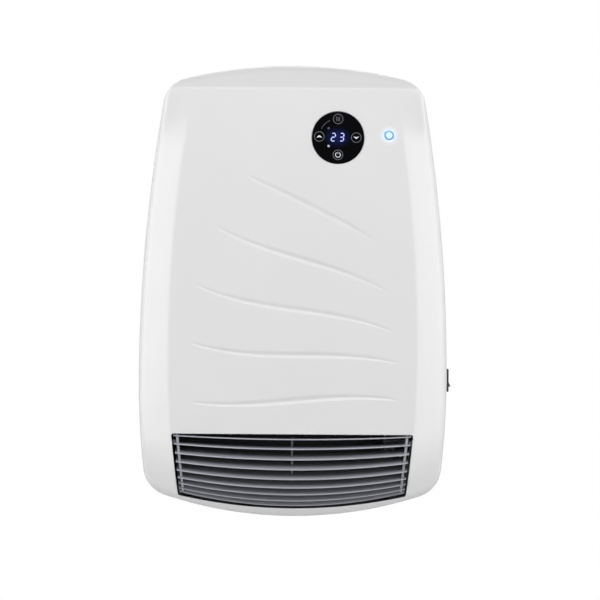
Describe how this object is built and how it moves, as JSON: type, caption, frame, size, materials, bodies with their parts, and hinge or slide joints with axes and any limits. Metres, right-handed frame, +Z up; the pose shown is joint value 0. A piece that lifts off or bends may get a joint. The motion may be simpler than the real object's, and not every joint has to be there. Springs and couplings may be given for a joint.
{
  "type": "bathroom wall fan heater",
  "caption": "White wall fan heater with domed cover, wave grooves, round touch window, louvred outlet at the bottom, crossflow fan, finned heating element and pull-out intake filter.",
  "frame": {"origin": "on the back face of the wall plate, where it lies on the wall, midway between the heater's sides and 219 mm above its lowest point", "axes": "+Y goes into the wall, so the front faces -Y; +Z is up; +X is to the right seen from the room"},
  "size_m": [0.3042, 0.128, 0.4383],
  "materials": {
    "cover_white": "satin gloss",
    "housing_white": "fine matte",
    "filter_white": "fine matte",
    "window_black": "polished, smoked",
    "digit_light": "lit",
    "status_light": "lit, diffusing",
    "grille_grey": "satin",
    "zinc_sheet": "zinc coated sheet",
    "screw_steel": "bright zinc",
    "rotor_dark": "satin",
    "shaft_steel": "ground",
    "rubber_black": "matte",
    "lamination_steel": "stacked sheets",
    "winding_copper": "enamelled wire",
    "element_aluminium": "mill finish",
    "black_plastic": "fine matte",
    "circuit_green": "solder mask",
    "relay_blue": "satin",
    "capacitor_yellow": "satin",
    "transformer_core": "varnished",
    "terminal_cream": "satin",
    "terminal_brass": "bright",
    "rocker_black": "gloss",
    "ceramic_white": "glazed",
    "filter_mesh": "woven"
  },
  "bodies": {
    "heater": {"front_cover": "cover_white", "display_lens": "window_black", "digit_tens": "digit_light", "digit_units": "digit_light", "digit_module": "black_plastic", "display_board": "circuit_green", "status_lens": "status_light", "outlet_grille": "grille_grey", "rear_housing": "housing_white", "wall_plate": "zinc_sheet", "cover_screw_1": "screw_steel", "cover_screw_2": "screw_steel", "cover_screw_3": "screw_steel", "cover_screw_4": "screw_steel", "plate_lock_screw": "screw_steel", "bearing_bush": "rubber_black", "fan_scroll": "zinc_sheet", "fan_tongue": "zinc_sheet", "end_plate_left": "zinc_sheet", "end_plate_right": "zinc_sheet", "motor_stator": "lamination_steel", "motor_coil": "winding_copper", "motor_bracket_inner": "zinc_sheet", "motor_bracket_outer": "zinc_sheet", "ptc_bar": "element_aluminium", "ptc_fins_rear": "element_aluminium", "ptc_fins_front": "element_aluminium", "element_holder_left": "black_plastic", "element_holder_right": "black_plastic", "control_board": "circuit_green", "board_relay_1": "relay_blue", "board_relay_2": "relay_blue", "board_film_capacitor": "capacitor_yellow", "board_electrolytic": "black_plastic", "board_transformer": "transformer_core", "terminal_block": "terminal_cream", "terminal_screw_1": "terminal_brass", "terminal_screw_2": "terminal_brass", "terminal_screw_3": "terminal_brass", "cord_clamp": "black_plastic", "cable_grommet": "rubber_black", "switch_body": "black_plastic", "thermal_cutout": "black_plastic", "thermal_fuse": "ceramic_white"},
    "fan": {"fan_rotor": "rotor_dark", "rotor_pin": "shaft_steel", "motor_shaft": "shaft_steel", "motor_armature": "lamination_steel"},
    "rocker": {"switch_rocker": "rocker_black"},
    "filter": {"filter_cassette": "filter_white", "filter_mesh": "filter_mesh"}
  },
  "joints": [
    {"name": "fan_spin", "type": "hinge", "parent": "heater", "child": "fan", "pos_m": [0, -0.06, -0.072], "axis": [1, 0, 0], "continuous": true},
    {"name": "rocker_tilt", "type": "hinge", "parent": "heater", "child": "rocker", "pos_m": [0.1479, -0.025, -0.086], "axis": [0, 1, 0], "range_deg": [0, 18]},
    {"name": "filter_slide", "type": "slide", "parent": "heater", "child": "filter", "axis": [0, 0, 1], "range_m": [0, 0.06]}
  ]
}
